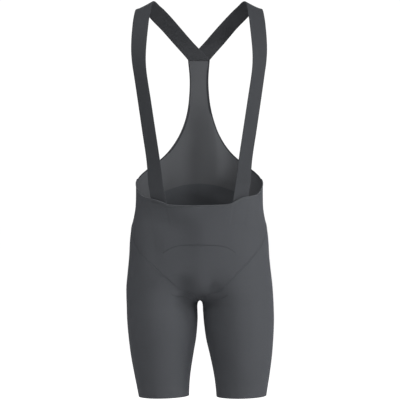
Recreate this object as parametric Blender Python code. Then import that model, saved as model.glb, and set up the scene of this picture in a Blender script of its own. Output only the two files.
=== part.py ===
"""Men's cycling bib shorts, worn shape with nobody inside: stretch knit panels, bound edges and elastic braces.

Metres, +Z up, the wearer faces -Y. The origin is on the shoulder line, midway between the braces.
Every panel is a wall on one body surface, which is worked out from the rows of BODY. A place on that
surface is (share, z): share runs from 0 at the front centre line round the side to 1 at the back centre
line, and below the crotch from the inner thigh, round the front and side, back to the inner thigh.
"""

import math
from bisect import bisect_right
from collections import namedtuple
from functools import lru_cache

import bmesh
import bpy
from mathutils import Vector

# Driving sizes
WALL = 0.0015  # knit of the shorts
BIB_WALL = 0.0012  # lighter knit of the back
BINDING_WALL = 0.0024
BINDING_WIDTH = 0.0055
BRACE_WALL = 0.0016
GAP = 0.0004  # between pieces that meet at a seam
SEAM_DROP = 0.00030  # half the gap at a slanting seam, measured straight down
BINDING_GAP = 0.0006
HEM_Z = -0.9258
BRACE_CUT_Z = -0.1286  # level end of the braces on the bib back
BRACE_LOW_Z = -0.533  # their front ends, inside the front panel
LEAN_FROM_Z = -0.655  # below it both legs lean towards +X
LEAN_SLOPE = 0.0262
LEAN_EASE = 0.060
HEM_CENTRE_X = 0.0908  # the middle of a hem, which turns with the leg's lean
TURN_FROM_Z = -0.725
TURN_EASE = 0.10
INWARD = 0.0021  # the right leg's inner side lies nearer to the centre from here down
INWARD_FROM_Z = -0.72
INWARD_EASE = 0.13
OUTER_X = 0.15
TOP_SHIFT = 0.0010  # the shoulders, and all of the back, are a little to the right
TOP_SHIFT_FROM_Z = -0.25
TOP_SHIFT_EASE = 0.20
BACK_SHIFT = 0.0006
BACK_SHIFT_FROM_Z = -0.40
BACK_SHIFT_EASE = 0.10
BACK_SHIFT_DEPTH = 0.05
BRACE_CUT_HALF = 0.0268
BRACE_OVERLAP = 0.0022  # the right brace lies this far behind the left one at the crossing
BRACE_TUCK = 0.0036  # from the outside of the front panel to the middle of a brace
BRACE_TUCK_FROM = 0.012  # how far below its first row a brace is inside the front panel
BRACE_SLANT = 0.14

# How finely the pieces are divided
ROUND_STEPS = 36  # round half the body, and round a leg
CROWDING = 0.55  # the steps are closer together at the inner thigh
SIDE_STEP = 19  # the side seams' step
BACK_STEPS = ROUND_STEPS - SIDE_STEP
SEAM_SHARE = GAP / 2 / 0.40  # half the gap, as a share of the half girth
ROWS_ABOVE_CROTCH = 11
ROWS_BELOW_CROTCH = 2
LEG_ROWS = 14
BIB_ROWS = 17
BRACE_STEPS = 44
TUCK_ROWS = 4
BIB_EASE = 0.19

# How the surface is worked out
FULL_TURN = 2 * math.pi
FURTHEST = 0.4
HALVINGS = 34
NORMAL_STEP = 0.0005
BLEND_CHANGE = 0.08
GUSSET_CHANGE = 0.02
GUSSET_WIDTH = 0.030
TURN_TRIES = 8
CROTCH_BETWEEN = (-0.68, -0.72)

# The half body at a height is a rounded lobe beside the centre plane, blended with its mirror image.
# gusset is how far the cloth across the front centre fills the hollow between them.
BodyRow = namedtuple("BodyRow", "z half_width lobe_x mid_y front back square front_blend back_blend gusset")
BODY = (
    BodyRow(-0.110, 0.1500, 0.0400, 0.000, 0.110, 0.1215, 2.2, 0.016, 0.009, 0.0),
    BodyRow(-0.200, 0.1520, 0.0470, 0.000, 0.110, 0.1215, 2.2, 0.016, 0.009, 0.0),
    BodyRow(-0.300, 0.1500, 0.0500, 0.000, 0.110, 0.110, 2.2, 0.016, 0.008, 0.0),
    BodyRow(-0.380, 0.1490, 0.0500, 0.000, 0.110, 0.099, 2.2, 0.016, 0.007, 0.0),
    BodyRow(-0.430, 0.1489, 0.0515, 0.000, 0.1115, 0.096, 2.3, 0.016, 0.007, 0.0),
    BodyRow(-0.480, 0.1498, 0.0515, 0.000, 0.1130, 0.102, 2.3, 0.016, 0.008, 0.0008),
    BodyRow(-0.505, 0.1535, 0.0530, 0.001, 0.1120, 0.109, 2.3, 0.017, 0.009, 0.0015),
    BodyRow(-0.530, 0.1592, 0.0561, 0.002, 0.1100, 0.114, 2.3, 0.018, 0.010, 0.0026),
    BodyRow(-0.560, 0.1631, 0.0595, 0.004, 0.1100, 0.120, 2.2, 0.018, 0.011, 0.0042),
    BodyRow(-0.600, 0.1653, 0.0645, 0.006, 0.1085, 0.121, 2.2, 0.018, 0.012, 0.0046),
    BodyRow(-0.640, 0.1692, 0.0720, 0.008, 0.106, 0.114, 2.2, 0.015, 0.012, 0.0095),
    BodyRow(-0.670, 0.1720, 0.0795, 0.010, 0.103, 0.104, 2.2, 0.010, 0.009, 0.0150),
    BodyRow(-0.690, 0.1726, 0.0840, 0.010, 0.100, 0.096, 2.2, 0.006, 0.006, 0.0133),
    BodyRow(-0.7045, 0.1728, 0.08745, 0.010, 0.098, 0.091, 2.2, 0.003, 0.003, 0.0),
    BodyRow(-0.713, 0.1728, 0.0896, 0.010, 0.097, 0.088, 2.2, 0.0025, 0.0025, 0.0),
    BodyRow(-0.750, 0.1724, 0.09005, 0.008, 0.094, 0.080, 2.2, 0.002, 0.002, 0.0),
    BodyRow(-0.790, 0.1695, 0.09075, 0.004, 0.087, 0.076, 2.2, 0.002, 0.002, 0.0),
    BodyRow(-0.830, 0.1651, 0.0927, 0.000, 0.079, 0.073, 2.1, 0.002, 0.002, 0.0),
    BodyRow(-0.870, 0.1589, 0.09325, -0.003, 0.071, 0.070, 2.1, 0.002, 0.002, 0.0),
    BodyRow(-0.900, 0.1537, 0.09245, -0.004, 0.067, 0.067, 2.1, 0.002, 0.002, 0.0),
    BodyRow(-0.930, 0.1488, 0.0909, -0.005, 0.0640, 0.0645, 2.1, 0.002, 0.002, 0.0),
)

# Cut lines on the surface
LineRow = namedtuple("LineRow", "share z")
FRONT_RIM = (  # the top edge, from the front centre to the side seam, pulled up by the brace
    LineRow(0.000, -0.4795),
    LineRow(0.100, -0.4785),
    LineRow(0.150, -0.4765),
    LineRow(0.180, -0.4710),
    LineRow(0.210, -0.4668),
    LineRow(0.260, -0.4622),
    LineRow(0.320, -0.4554),
    LineRow(0.385, -0.4424),
    LineRow(0.455, -0.4290),
    LineRow(0.550, -0.4170),
)
WAIST_SEAM = (  # between the seat and the bib back, from the side seam to the back centre
    LineRow(0.55, -0.4920),
    LineRow(0.65, -0.4720),
    LineRow(0.78, -0.4480),
    LineRow(0.90, -0.4320),
    LineRow(1.00, -0.4275),
)
SeamRow = namedtuple("SeamRow", "angle z")
LEG_SEAM = (  # the top edge of a leg, by the angle from the inner thigh round the front, hip and seat
    SeamRow(0, -0.7095),
    SeamRow(15, -0.7074),
    SeamRow(36, -0.7010),
    SeamRow(54, -0.6888),
    SeamRow(67, -0.6793),
    SeamRow(79, -0.6641),
    SeamRow(90, -0.6490),
    SeamRow(102, -0.6318),
    SeamRow(112, -0.6181),
    SeamRow(122, -0.6047),
    SeamRow(132, -0.5898),
    SeamRow(145, -0.5685),
    SeamRow(157, -0.5515),
    SeamRow(176, -0.5290),
    SeamRow(192, -0.5190),
    SeamRow(213, -0.5328),
    SeamRow(232, -0.5718),
    SeamRow(254, -0.6240),
    SeamRow(284, -0.6672),
    SeamRow(308, -0.6881),
    SeamRow(332, -0.6999),
    SeamRow(360, -0.7095),
)
EdgeRow = namedtuple("EdgeRow", "z half_width")
BIB_RIM = (  # the long edge of the bib back, from its top to the side seam
    EdgeRow(-0.1140, 0.0258),
    EdgeRow(-0.1285, 0.0265),
    EdgeRow(-0.1443, 0.0250),
    EdgeRow(-0.1636, 0.0233),
    EdgeRow(-0.1830, 0.0227),
    EdgeRow(-0.2023, 0.0233),
    EdgeRow(-0.2216, 0.0246),
    EdgeRow(-0.2410, 0.0269),
    EdgeRow(-0.2604, 0.0306),
    EdgeRow(-0.2797, 0.0360),
    EdgeRow(-0.2990, 0.0431),
    EdgeRow(-0.3184, 0.0526),
    EdgeRow(-0.3380, 0.0651),
    EdgeRow(-0.3576, 0.0814),
    EdgeRow(-0.3770, 0.1030),
    EdgeRow(-0.3968, 0.1288),
    EdgeRow(-0.4085, 0.1405),
    EdgeRow(-0.4170, 0.1458),
)

# The right brace, by its two edges: up the chest, over the shoulder and down to the crossing at the back
BraceRow = namedtuple("BraceRow", "step neck_x neck_y neck_z arm_x arm_y arm_z")
BRACE = (
    BraceRow(0, 0.0803, -0.1012, -0.4540, 0.1165, -0.0850, -0.4540),
    BraceRow(1, 0.0896, -0.1050, -0.3810, 0.1212, -0.0860, -0.3810),
    BraceRow(2, 0.1005, -0.1090, -0.3078, 0.1317, -0.0880, -0.3078),
    BraceRow(3, 0.1115, -0.1110, -0.2344, 0.1423, -0.0900, -0.2344),
    BraceRow(4, 0.1197, -0.1110, -0.1800, 0.1502, -0.0895, -0.1800),
    BraceRow(4.5, 0.1220, -0.1070, -0.1523, 0.1543, -0.0880, -0.1523),
    BraceRow(5, 0.1217, -0.0990, -0.1246, 0.1564, -0.0840, -0.1246),
    BraceRow(5.5, 0.1196, -0.0860, -0.0952, 0.1561, -0.0760, -0.0952),
    BraceRow(6, 0.1171, -0.0670, -0.0657, 0.1544, -0.0600, -0.0657),
    BraceRow(6.5, 0.1153, -0.0500, -0.0454, 0.1527, -0.0430, -0.0454),
    BraceRow(7, 0.1125, -0.0280, -0.0240, 0.1491, -0.0220, -0.0243),
    BraceRow(7.5, 0.1096, -0.0100, -0.0040, 0.1440, -0.0030, -0.0195),
    BraceRow(8, 0.1031, 0.0080, 0.0000, 0.1350, 0.0170, -0.0190),
    BraceRow(8.5, 0.0921, 0.0300, -0.0089, 0.1220, 0.0360, -0.0290),
    BraceRow(9, 0.0823, 0.0480, -0.0163, 0.1093, 0.0500, -0.0420),
    BraceRow(9.5, 0.0646, 0.0740, -0.0326, 0.0907, 0.0750, -0.0591),
    BraceRow(10, 0.0478, 0.0945, -0.0499, 0.0758, 0.0945, -0.0745),
    BraceRow(10.5, 0.0313, 0.1070, -0.0680, 0.0592, 0.1070, -0.0926),
    BraceRow(11, 0.0142, 0.1145, -0.0866, 0.0427, 0.1145, -0.1106),
    BraceRow(11.5, 0.0000, 0.1178, -0.1013, 0.0295, 0.1178, -0.1253),
)

COLOURS = {
    "shorts": (0.074, 0.078, 0.086, 1.0),
    "bib": (0.080, 0.084, 0.092, 1.0),
    "binding": (0.058, 0.061, 0.067, 1.0),
    "brace": (0.060, 0.062, 0.067, 1.0),
}
ROUGHNESS = {"shorts": 0.78, "bib": 0.85, "binding": 0.7, "brace": 0.72}


def read_row(table, place):
    """The row at a place in the first column, on a smooth curve through the table's rows."""
    ordered = table if table[0][0] < table[-1][0] else table[::-1]
    starts = [row[0] for row in ordered]
    place = min(max(place, starts[0]), starts[-1])
    low = min(max(bisect_right(starts, place) - 1, 0), len(ordered) - 2)
    before, first = ordered[max(low - 1, 0)], ordered[low]
    second, after = ordered[low + 1], ordered[min(low + 2, len(ordered) - 1)]
    step = second[0] - first[0]
    share = (place - first[0]) / step
    values = [place]
    for a, b, c, d in zip(before[1:], first[1:], second[1:], after[1:]):
        slope_b = (c - a) / (second[0] - before[0]) * step
        slope_c = (d - b) / (after[0] - first[0]) * step
        bend = 2 * b - 2 * c + slope_b + slope_c
        turn = 3 * c - 3 * b - 2 * slope_b - slope_c
        values.append(((bend * share + turn) * share + slope_b) * share + b)
    return type(first)(*values)


@lru_cache(maxsize=None)
def body_row(z):
    return read_row(BODY, z)


def mix(start, end, share):
    return start + (end - start) * share


def round_share(step):
    """The share of a step round the body, or round a leg."""
    turn = step / ROUND_STEPS
    return turn - CROWDING * math.sin(FULL_TURN * turn) / FULL_TURN


def smooth_step(share):
    share = min(max(share, 0.0), 1.0)
    return share * share * (3 - 2 * share)


def lobe_distance(x, y, row):
    """How far a point is outside the lobe at +X, below zero inside it."""
    width = row.half_width - row.lobe_x
    depth = row.back if y > row.mid_y else row.front
    across = (abs(x - row.lobe_x) / width) ** row.square
    along = (abs(y - row.mid_y) / depth) ** row.square
    return ((across + along) ** (1 / row.square) - 1) * width


def body_distance(x, y, row):
    """How far a point is outside the two blended lobes of one height."""
    right, left = lobe_distance(x, y, row), lobe_distance(-x, y, row)
    blend = mix(row.front_blend, row.back_blend, smooth_step((y - row.mid_y) / BLEND_CHANGE + 0.5))
    ahead = smooth_step((row.mid_y - y) / GUSSET_CHANGE)
    filled = row.gusset * math.exp(-((x / GUSSET_WIDTH) ** 2)) * ahead
    return min(right, left) - blend * math.log(1 + math.exp(-abs(right - left) / blend)) - filled


def centre_reach(row, depth, blend, gusset=0.0):
    """How far in front of or behind mid_y the surface crosses the centre plane, 0 below the crotch."""
    width = row.half_width - row.lobe_x
    spread = blend * math.log(2) + gusset
    rest = (1 + spread / width) ** row.square - (row.lobe_x / width) ** row.square
    return depth * rest ** (1 / row.square) if rest > 0 else 0.0


def angle_range(z):
    """Where the half body starts and ends, as angles about the lobe's centre, 0 at its inner side."""
    row = body_row(z)
    start = math.atan2(centre_reach(row, row.front, row.front_blend, row.gusset), row.lobe_x)
    end = math.atan2(centre_reach(row, row.back, row.back_blend), row.lobe_x)
    return start, FULL_TURN - end


def point_at_angle(angle, z):
    """The point of the surface at an angle about the lobe's centre, found by halving."""
    row = body_row(z)
    side, rear = -math.cos(angle), -math.sin(angle)
    near, far = 0.0, FURTHEST
    if side * FURTHEST < -row.lobe_x:
        far = -row.lobe_x / side
    for _ in range(HALVINGS):
        middle = (near + far) / 2
        if body_distance(row.lobe_x + side * middle, row.mid_y + rear * middle, row) < 0:
            near = middle
        else:
            far = middle
    return Vector((row.lobe_x + side * far, row.mid_y + rear * far, z))


def body_point(share, z):
    start, end = angle_range(z)
    return point_at_angle(mix(start, end, share), z)


def share_of(point):
    """The share at which a ray from the lobe's centre to this point starts."""
    row = body_row(point.z)
    start, end = angle_range(point.z)
    angle = math.atan2(row.mid_y - point.y, row.lobe_x - point.x) % FULL_TURN
    return (angle - start) / (end - start)


def share_at_back(half_width, z):
    """The share of the back at a distance from the centre plane, found by halving."""
    side, centre = 0.5, 1.0
    for _ in range(HALVINGS):
        middle = (side + centre) / 2
        if body_point(middle, z).x > half_width:
            side = middle
        else:
            centre = middle
    return centre


def body_normal(point):
    """The direction straight out of the surface at a point on it."""
    x, y, z = point
    row = body_row(z)
    return Vector((
        body_distance(x + NORMAL_STEP, y, row) - body_distance(x - NORMAL_STEP, y, row),
        body_distance(x, y + NORMAL_STEP, row) - body_distance(x, y - NORMAL_STEP, row),
        body_distance(x, y, body_row(z + NORMAL_STEP)) - body_distance(x, y, body_row(z - NORMAL_STEP)),
    )).normalized()


def crotch_height():
    """Where the two halves part, found by halving between a joined and a parted height."""
    joined, parted = CROTCH_BETWEEN
    for _ in range(HALVINGS):
        middle = (joined + parted) / 2
        row = body_row(middle)
        if centre_reach(row, row.front, row.front_blend, row.gusset) > 0:
            joined = middle
        else:
            parted = middle
    return joined


def leaned(point):
    """The pose: both legs lean a little to one side from the hips down, and the top a little to the other."""
    below = max(LEAN_FROM_Z - point.z, 0.0)
    lean = LEAN_SLOPE * smooth_step(below / LEAN_EASE)
    leg_middle = math.copysign(HEM_CENTRE_X, point.x)
    lifted = lean * (point.x - leg_middle) * smooth_step((TURN_FROM_Z - point.z) / TURN_EASE)
    shift = lean * below - TOP_SHIFT * smooth_step((point.z - TOP_SHIFT_FROM_Z) / TOP_SHIFT_EASE)
    behind = smooth_step(point.y / BACK_SHIFT_DEPTH)
    shift -= BACK_SHIFT * behind * smooth_step((point.z - BACK_SHIFT_FROM_Z) / BACK_SHIFT_EASE)
    if point.x < 0:
        shift += INWARD * (1 + point.x / OUTER_X) * smooth_step((INWARD_FROM_Z - point.z) / INWARD_EASE)
    return Vector((point.x + shift, point.y, point.z + lifted))


def mirrored(vector):
    return Vector((-vector.x, vector.y, vector.z))


# Walls


def material(name):
    made = bpy.data.materials.new(name)
    made.use_nodes = True
    shader = made.node_tree.nodes["Principled BSDF"]
    shader.inputs["Base Color"].default_value = COLOURS[name]
    shader.inputs["Roughness"].default_value = ROUGHNESS[name]
    shader.inputs["Metallic"].default_value = 0.0
    return made


def turned(cell):
    """The same cell the other way round, which is split into triangles along the same diagonal."""
    return cell[2::-1] + cell[3:]


def wall(name, finish, places, cells, thickness, proud=0.0):
    """A closed wall. places gives (point, normal) for each key, cells the keys round each face."""
    shape = bmesh.new()
    outer, inner = {}, {}
    for key, (point, normal) in places.items():
        outer[key] = shape.verts.new(leaned(point + normal * proud))
        inner[key] = shape.verts.new(leaned(point + normal * (proud - thickness)))
    uses = {}
    for cell in cells:
        shape.faces.new([outer[key] for key in cell])
        shape.faces.new([inner[key] for key in turned(cell)])
        for start, end in zip(cell, cell[1:] + cell[:1]):
            uses.setdefault(frozenset((start, end)), []).append((start, end))
    for users in uses.values():
        if len(users) == 1:
            start, end = users[0]
            shape.faces.new([outer[end], outer[start], inner[start], inner[end]])
    bmesh.ops.recalc_face_normals(shape, faces=shape.faces)
    mesh = bpy.data.meshes.new(name)
    shape.to_mesh(mesh)
    shape.free()
    mesh.materials.append(FINISHES[finish])
    mesh.shade_smooth()
    mesh.set_sharp_from_angle(angle=math.radians(40))
    piece = bpy.data.objects.new(name, mesh)
    PARTS.objects.link(piece)
    return piece


def on_body(share, z):
    point = body_point(share, z)
    return point, body_normal(point)


def on_other_half(place):
    return mirrored(place[0]), mirrored(place[1])


def leg_angle(share):
    """The angle of a share round a leg. The side seam's share is where that seam ends."""
    return FULL_TURN * share - SIDE_TURN * math.sin(math.pi * share) ** 2


def leg_seam_z(angle):
    return read_row(LEG_SEAM, math.degrees(angle)).z


def side_turn():
    """How far the side seam's end is from its even place round a leg."""
    even = FULL_TURN * SIDE_SEAM
    angle = even
    for _ in range(TURN_TRIES):
        start, end = angle_range(leg_seam_z(angle))
        angle = mix(start, end, SIDE_SEAM)
    return (even - angle) / math.sin(math.pi * SIDE_SEAM) ** 2


def leg_seam_share(z, centre):
    """The share at which the leg seam crosses a height, between a centre line's share and the side seam."""
    low, high = centre, SIDE_SEAM
    for _ in range(HALVINGS):
        middle = (low + high) / 2
        if leg_seam_z(leg_angle(middle)) < z:
            low = middle
        else:
            high = middle
    return high


def column_angle(share, z, centre):
    """The angle of a panel's column at a height. The columns run from the top edge to the leg seam."""
    start, end = angle_range(z)
    seam_share, seam_angle = SIDE_SEAM, mix(start, end, SIDE_SEAM)
    if z - SEAM_DROP < leg_seam_z(leg_angle(SIDE_SEAM)):
        seam_share = leg_seam_share(z - SEAM_DROP, centre)
        seam_angle = leg_angle(seam_share)
    part = (share - centre) / (seam_share - centre) if seam_share != centre else 1.0
    return mix(start if centre == 0 else end, seam_angle, part)


def graded(row, centre_levels, from_centre):
    """How far down a column its row lies: crowded at the crotch beside the centre line, even elsewhere."""
    even = row / (len(centre_levels) - 1)
    return mix(centre_levels[row], even, smooth_step(from_centre / 0.3))


def levels_down_centre(top, bottom):
    """Heights down the centre line as shares from top to bottom, closest together at the crotch."""
    above = [(1 - row / ROWS_ABOVE_CROTCH) ** 2.0 for row in range(ROWS_ABOVE_CROTCH)]
    below = [(row / ROWS_BELOW_CROTCH) ** 1.5 for row in range(ROWS_BELOW_CROTCH + 1)]
    levels = [CROTCH_Z + (top - CROTCH_Z) * part for part in above]
    levels += [CROTCH_Z - (CROTCH_Z - bottom) * part for part in below]
    return [(top - level) / (top - bottom) for level in levels]


def two_sided_panel(name, steps, top_line, top_drop):
    """A panel across the centre plane, parted at the crotch. Its first step is its centre line."""
    centre = round_share(steps[0])
    away = 1 if centre == 0 else -1
    centre_top = read_row(top_line, centre).z - top_drop
    levels = levels_down_centre(centre_top, leg_seam_z(leg_angle(centre)) + SEAM_DROP)
    places = {}
    for step in steps:
        share = round_share(step)
        trim = away * SEAM_SHARE * FULL_TURN if step in (steps[0], SIDE_STEP) else 0
        trim = -trim if step == steps[0] else trim
        top_z = read_row(top_line, share).z - top_drop
        low_z = leg_seam_z(leg_angle(share)) + SEAM_DROP
        for row in range(len(levels)):
            z = mix(top_z, low_z, graded(row, levels, abs(share - centre)))
            on_centre = step == steps[0] and row <= ROWS_ABOVE_CROTCH
            if on_centre and row == ROWS_ABOVE_CROTCH:
                point = body_point(centre, CROTCH_Z)
                place = Vector((0, point.y - away * GAP / 2, CROTCH_Z)), Vector((0, 0, -1))
            elif on_centre:
                place = on_body(centre, z)
            else:
                point = point_at_angle(column_angle(share, z, centre) - trim, z)
                place = point, body_normal(point)
            if on_centre:
                places[0, step, row] = place
            else:
                places[1, step, row] = place
                places[-1, step, row] = on_other_half(place)
    cells = []
    for side in (1, -1):
        for step, after in zip(steps, steps[1:]):
            for row in range(len(levels) - 1):
                keys = [(step, row), (step, row + 1), (after, row + 1), (after, row)]
                cell = [(0, *key) if (0, *key) in places else (side, *key) for key in keys]
                cells.append(cell if side == 1 else turned(cell))
    return wall(name, "shorts", places, cells, WALL)


def leg(name, side):
    places = {}
    for step in range(ROUND_STEPS):
        share = round_share(step)
        angle = leg_angle(share)
        top = leg_seam_z(angle) - SEAM_DROP
        apart = smooth_step(min(share, 1 - share) / 0.15)
        for row in range(LEG_ROWS + 1):
            even = row / LEG_ROWS
            point = point_at_angle(angle, mix(top, HEM_Z, mix(even**1.9, even, apart)))
            place = point, body_normal(point)
            places[step, row] = place if side > 0 else on_other_half(place)
    cells = []
    for step in range(ROUND_STEPS):
        after = (step + 1) % ROUND_STEPS
        for row in range(LEG_ROWS):
            cells.append([(step, row), (step, row + 1), (after, row + 1), (after, row)])
    return wall(name, "shorts", places, cells, WALL)


# The bib back and the bindings


def bib_rim_point(z):
    return body_point(share_at_back(read_row(BIB_RIM, z).half_width, z), z)


def slid(point, direction, distance):
    """The point of the body surface reached by sliding this far in a direction along it."""
    moved = point + direction.normalized() * distance
    return body_point(share_of(moved), moved.z)


def bib_rim_levels():
    """Heights down the rim, closer together where it sweeps round to the side."""
    top, bottom = BIB_RIM[0].z, BIB_RIM[-1].z
    return [mix(top, bottom, 1 - (1 - row / BIB_ROWS) ** 1.35) for row in range(BIB_ROWS + 1)]


def bib_edges():
    """The rim down the right side as (point, direction into the cloth), and the bib's own edge in the binding."""
    rim = [bib_rim_point(z) for z in bib_rim_levels()]
    rim[-1] = body_point(SIDE_SEAM + SEAM_SHARE, rim[-1].z)
    lines = []
    for row, point in enumerate(rim):
        along = rim[min(row + 1, BIB_ROWS)] - rim[max(row - 1, 0)]
        inward = body_normal(point).cross(along).normalized()
        down = smooth_step((row - BIB_ROWS + 4) / 4)  # at the side seam the strip is cut along the seam
        lines.append((point, inward.lerp(Vector((0, 0, -1)), down)))
    return lines, [slid(point, inward, BINDING_WIDTH + BINDING_GAP) for point, inward in lines]


def bib_back():
    edge_points = bib_edges()[1]
    seam_shares = [round_share(ROUND_STEPS - step) for step in range(BACK_STEPS)] + [SIDE_SEAM + SEAM_SHARE]
    low_corner_z = read_row(WAIST_SEAM, SIDE_SEAM).z + SEAM_DROP
    edge = [(share_of(point), point.z) for point in edge_points[::-1]]
    edge[0] = (seam_shares[-1], edge[0][1])
    right = [(seam_shares[-1], mix(low_corner_z, edge[0][1], part / 3)) for part in range(3)] + edge
    rows = len(right) - 1
    seam_centre_z = read_row(WAIST_SEAM, 1.0).z + SEAM_DROP
    top_z = right[-1][1]
    places = {}
    for row, (edge_share, edge_z) in enumerate(right):
        up = row / rows
        ease = smooth_step((edge_z - low_corner_z) / BIB_EASE)
        centre_z = edge_z + (seam_centre_z - low_corner_z) * (1 - ease)
        for step in range(BACK_STEPS + 1):
            out = (1 - seam_shares[step]) / (1 - seam_shares[-1])
            seam_z = read_row(WAIST_SEAM, seam_shares[step]).z + SEAM_DROP
            top_share = mix(1.0, right[-1][0], out)
            share = (1 - up) * seam_shares[step] + up * top_share + mix(1.0, edge_share, out)
            share -= (1 - up) * mix(1.0, right[0][0], out) + up * mix(1.0, right[-1][0], out)
            z = (1 - up) * seam_z + up * top_z + mix(centre_z, edge_z, out)
            z -= (1 - up) * mix(seam_centre_z, low_corner_z, out) + up * top_z
            place = on_body(share, z)
            places[step, row] = place
            if step:
                places[-step, row] = on_other_half(place)
    cells = []
    for step in range(-BACK_STEPS, BACK_STEPS):
        for row in range(rows):
            cells.append([(step, row), (step + 1, row), (step + 1, row + 1), (step, row + 1)])
    return wall("bib_back", "bib", places, cells, BIB_WALL)


def strip(name, places, count, across, thickness, proud):
    cells = []
    for step in range(count):
        for line in range(across):
            cells.append([(step, line), (step + 1, line), (step + 1, line + 1), (step, line + 1)])
    return wall(name, "binding", places, cells, thickness, proud)


def back_binding(name, side):
    places = {}
    lines = bib_edges()[0]
    for row, (point, inward) in enumerate(lines):
        for line, spot in enumerate((point, slid(point, inward, BINDING_WIDTH))):
            place = spot, body_normal(spot)
            places[row, line] = place if side > 0 else on_other_half(place)
    return strip(name, places, BIB_ROWS, 1, BINDING_WALL, (BINDING_WALL - BIB_WALL) / 2)


def front_binding():
    places = {}
    for step in range(-SIDE_STEP, SIDE_STEP + 1):
        share = round_share(abs(step))
        if abs(step) == SIDE_STEP:
            share -= SEAM_SHARE
        for line in range(2):
            place = on_body(share, read_row(FRONT_RIM, share).z - BINDING_WIDTH * line)
            places[step + SIDE_STEP, line] = place if step >= 0 else on_other_half(place)
    return strip("front_binding", places, 2 * SIDE_STEP, 1, BINDING_WALL, (BINDING_WALL - WALL) / 2)


# The braces


def tucked(x, z):
    """A point inside the front panel, at a distance from the centre plane."""
    front, side = 0.0, 0.5
    for _ in range(HALVINGS):
        middle = (front + side) / 2
        if body_point(middle, z).x < x:
            front = middle
        else:
            side = middle
    point = body_point(front, z)
    return point - body_normal(point) * BRACE_TUCK


def brace_rows(side):
    """Pairs of edge points along a brace, from its front end to its cut end at the back."""
    rows = []
    low, first = BRACE_LOW_Z, BRACE[0]
    for part in range(TUCK_ROWS):
        z = mix(low, first.neck_z - BRACE_TUCK_FROM, part / (TUCK_ROWS - 1))
        slant = (z - first.neck_z) * BRACE_SLANT
        rows.append((tucked(first.neck_x + slant, z), tucked(first.arm_x + slant / 2, z)))
    last = BRACE[-1].step
    for count in range(BRACE_STEPS + 1):
        row = read_row(BRACE, last * count / BRACE_STEPS)
        behind = BRACE_OVERLAP / 2 * smooth_step((row.step - last + 2) / 2) * side
        rows.append((
            Vector((row.neck_x, row.neck_y + behind, row.neck_z)),
            Vector((row.arm_x, row.arm_y + behind, row.arm_z)),
        ))
    neck, arm = rows[-1]
    cut_ends = Vector((-BRACE_CUT_HALF, neck.y, BRACE_CUT_Z)), Vector((BRACE_CUT_HALF, arm.y, BRACE_CUT_Z))
    return rows + [cut_ends]


def brace(name, side):
    rows = brace_rows(side)
    places = {}
    for count, (neck, arm) in enumerate(rows):
        before, after = rows[max(count - 1, 0)], rows[min(count + 1, len(rows) - 1)]
        along = (after[0] + after[1]) - (before[0] + before[1])
        normal = (arm - neck).cross(along).normalized()
        for line, point in enumerate((neck, arm)):
            place = point, normal
            places[count, line] = place if side > 0 else on_other_half(place)
    cells = [[(n, 0), (n + 1, 0), (n + 1, 1), (n, 1)] for n in range(len(rows) - 1)]
    return wall(name, "brace", places, cells, BRACE_WALL, BRACE_WALL / 2)


for old in list(bpy.data.objects):
    bpy.data.objects.remove(old, do_unlink=True)
CROTCH_Z = crotch_height()
SIDE_SEAM = round_share(SIDE_STEP)
SIDE_TURN = side_turn()
FINISHES = {name: material(name) for name in COLOURS}
PARTS = bpy.data.collections.new("cycling_bib_shorts")
bpy.context.scene.collection.children.link(PARTS)

two_sided_panel("front_panel", range(SIDE_STEP + 1), FRONT_RIM, BINDING_WIDTH + BINDING_GAP)
two_sided_panel("seat_panel", range(ROUND_STEPS, SIDE_STEP - 1, -1), WAIST_SEAM, SEAM_DROP)
leg("leg_left", 1)
leg("leg_right", -1)
bib_back()
front_binding()
back_binding("back_binding_left", 1)
back_binding("back_binding_right", -1)
brace("brace_left", 1)
brace("brace_right", -1)
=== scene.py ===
"""The looks of the cycling bib shorts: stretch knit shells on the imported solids' forms, with their seams,
bindings, stitches and elastic braces, in a pale studio.

Metres, +Z up, the front faces -Y. A place on the body surface is (share, z), as in the part's own source:
share runs from 0 at the front centre line round the wearer's left side to 1 at the back centre line.
"""

import math
from collections import namedtuple

import bpy
import numpy as np
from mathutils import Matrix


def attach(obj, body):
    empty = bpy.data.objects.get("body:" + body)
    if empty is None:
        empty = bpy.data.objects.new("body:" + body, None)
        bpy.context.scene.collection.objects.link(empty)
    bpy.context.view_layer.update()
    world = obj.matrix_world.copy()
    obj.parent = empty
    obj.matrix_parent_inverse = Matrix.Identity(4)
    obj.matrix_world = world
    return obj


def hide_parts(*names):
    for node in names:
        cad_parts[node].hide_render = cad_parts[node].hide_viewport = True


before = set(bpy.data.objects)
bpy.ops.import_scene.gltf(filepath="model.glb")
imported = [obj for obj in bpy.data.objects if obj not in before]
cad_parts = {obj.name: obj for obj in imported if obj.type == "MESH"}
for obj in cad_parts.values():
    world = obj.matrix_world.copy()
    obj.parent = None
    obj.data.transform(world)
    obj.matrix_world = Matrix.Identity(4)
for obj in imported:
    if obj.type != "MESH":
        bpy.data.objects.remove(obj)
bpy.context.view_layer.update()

# The body surface, as in the part's source
FULL_TURN = 2 * math.pi
ROUND_STEPS = 36
CROWDING = 0.55
SIDE_STEP = 19
BACK_STEPS = ROUND_STEPS - SIDE_STEP
HEM_Z = -0.9258
LEAN_FROM_Z = -0.655
LEAN_SLOPE = 0.0262
LEAN_EASE = 0.060
HEM_CENTRE_X = 0.0908
TURN_FROM_Z = -0.725
TURN_EASE = 0.10
INWARD = 0.0021
INWARD_FROM_Z = -0.72
INWARD_EASE = 0.13
OUTER_X = 0.15
TOP_SHIFT = 0.0010
TOP_SHIFT_FROM_Z = -0.25
TOP_SHIFT_EASE = 0.20
BACK_SHIFT = 0.0006
BACK_SHIFT_FROM_Z = -0.40
BACK_SHIFT_EASE = 0.10
BACK_SHIFT_DEPTH = 0.05
BACK_LIFT = 0.0010
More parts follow.
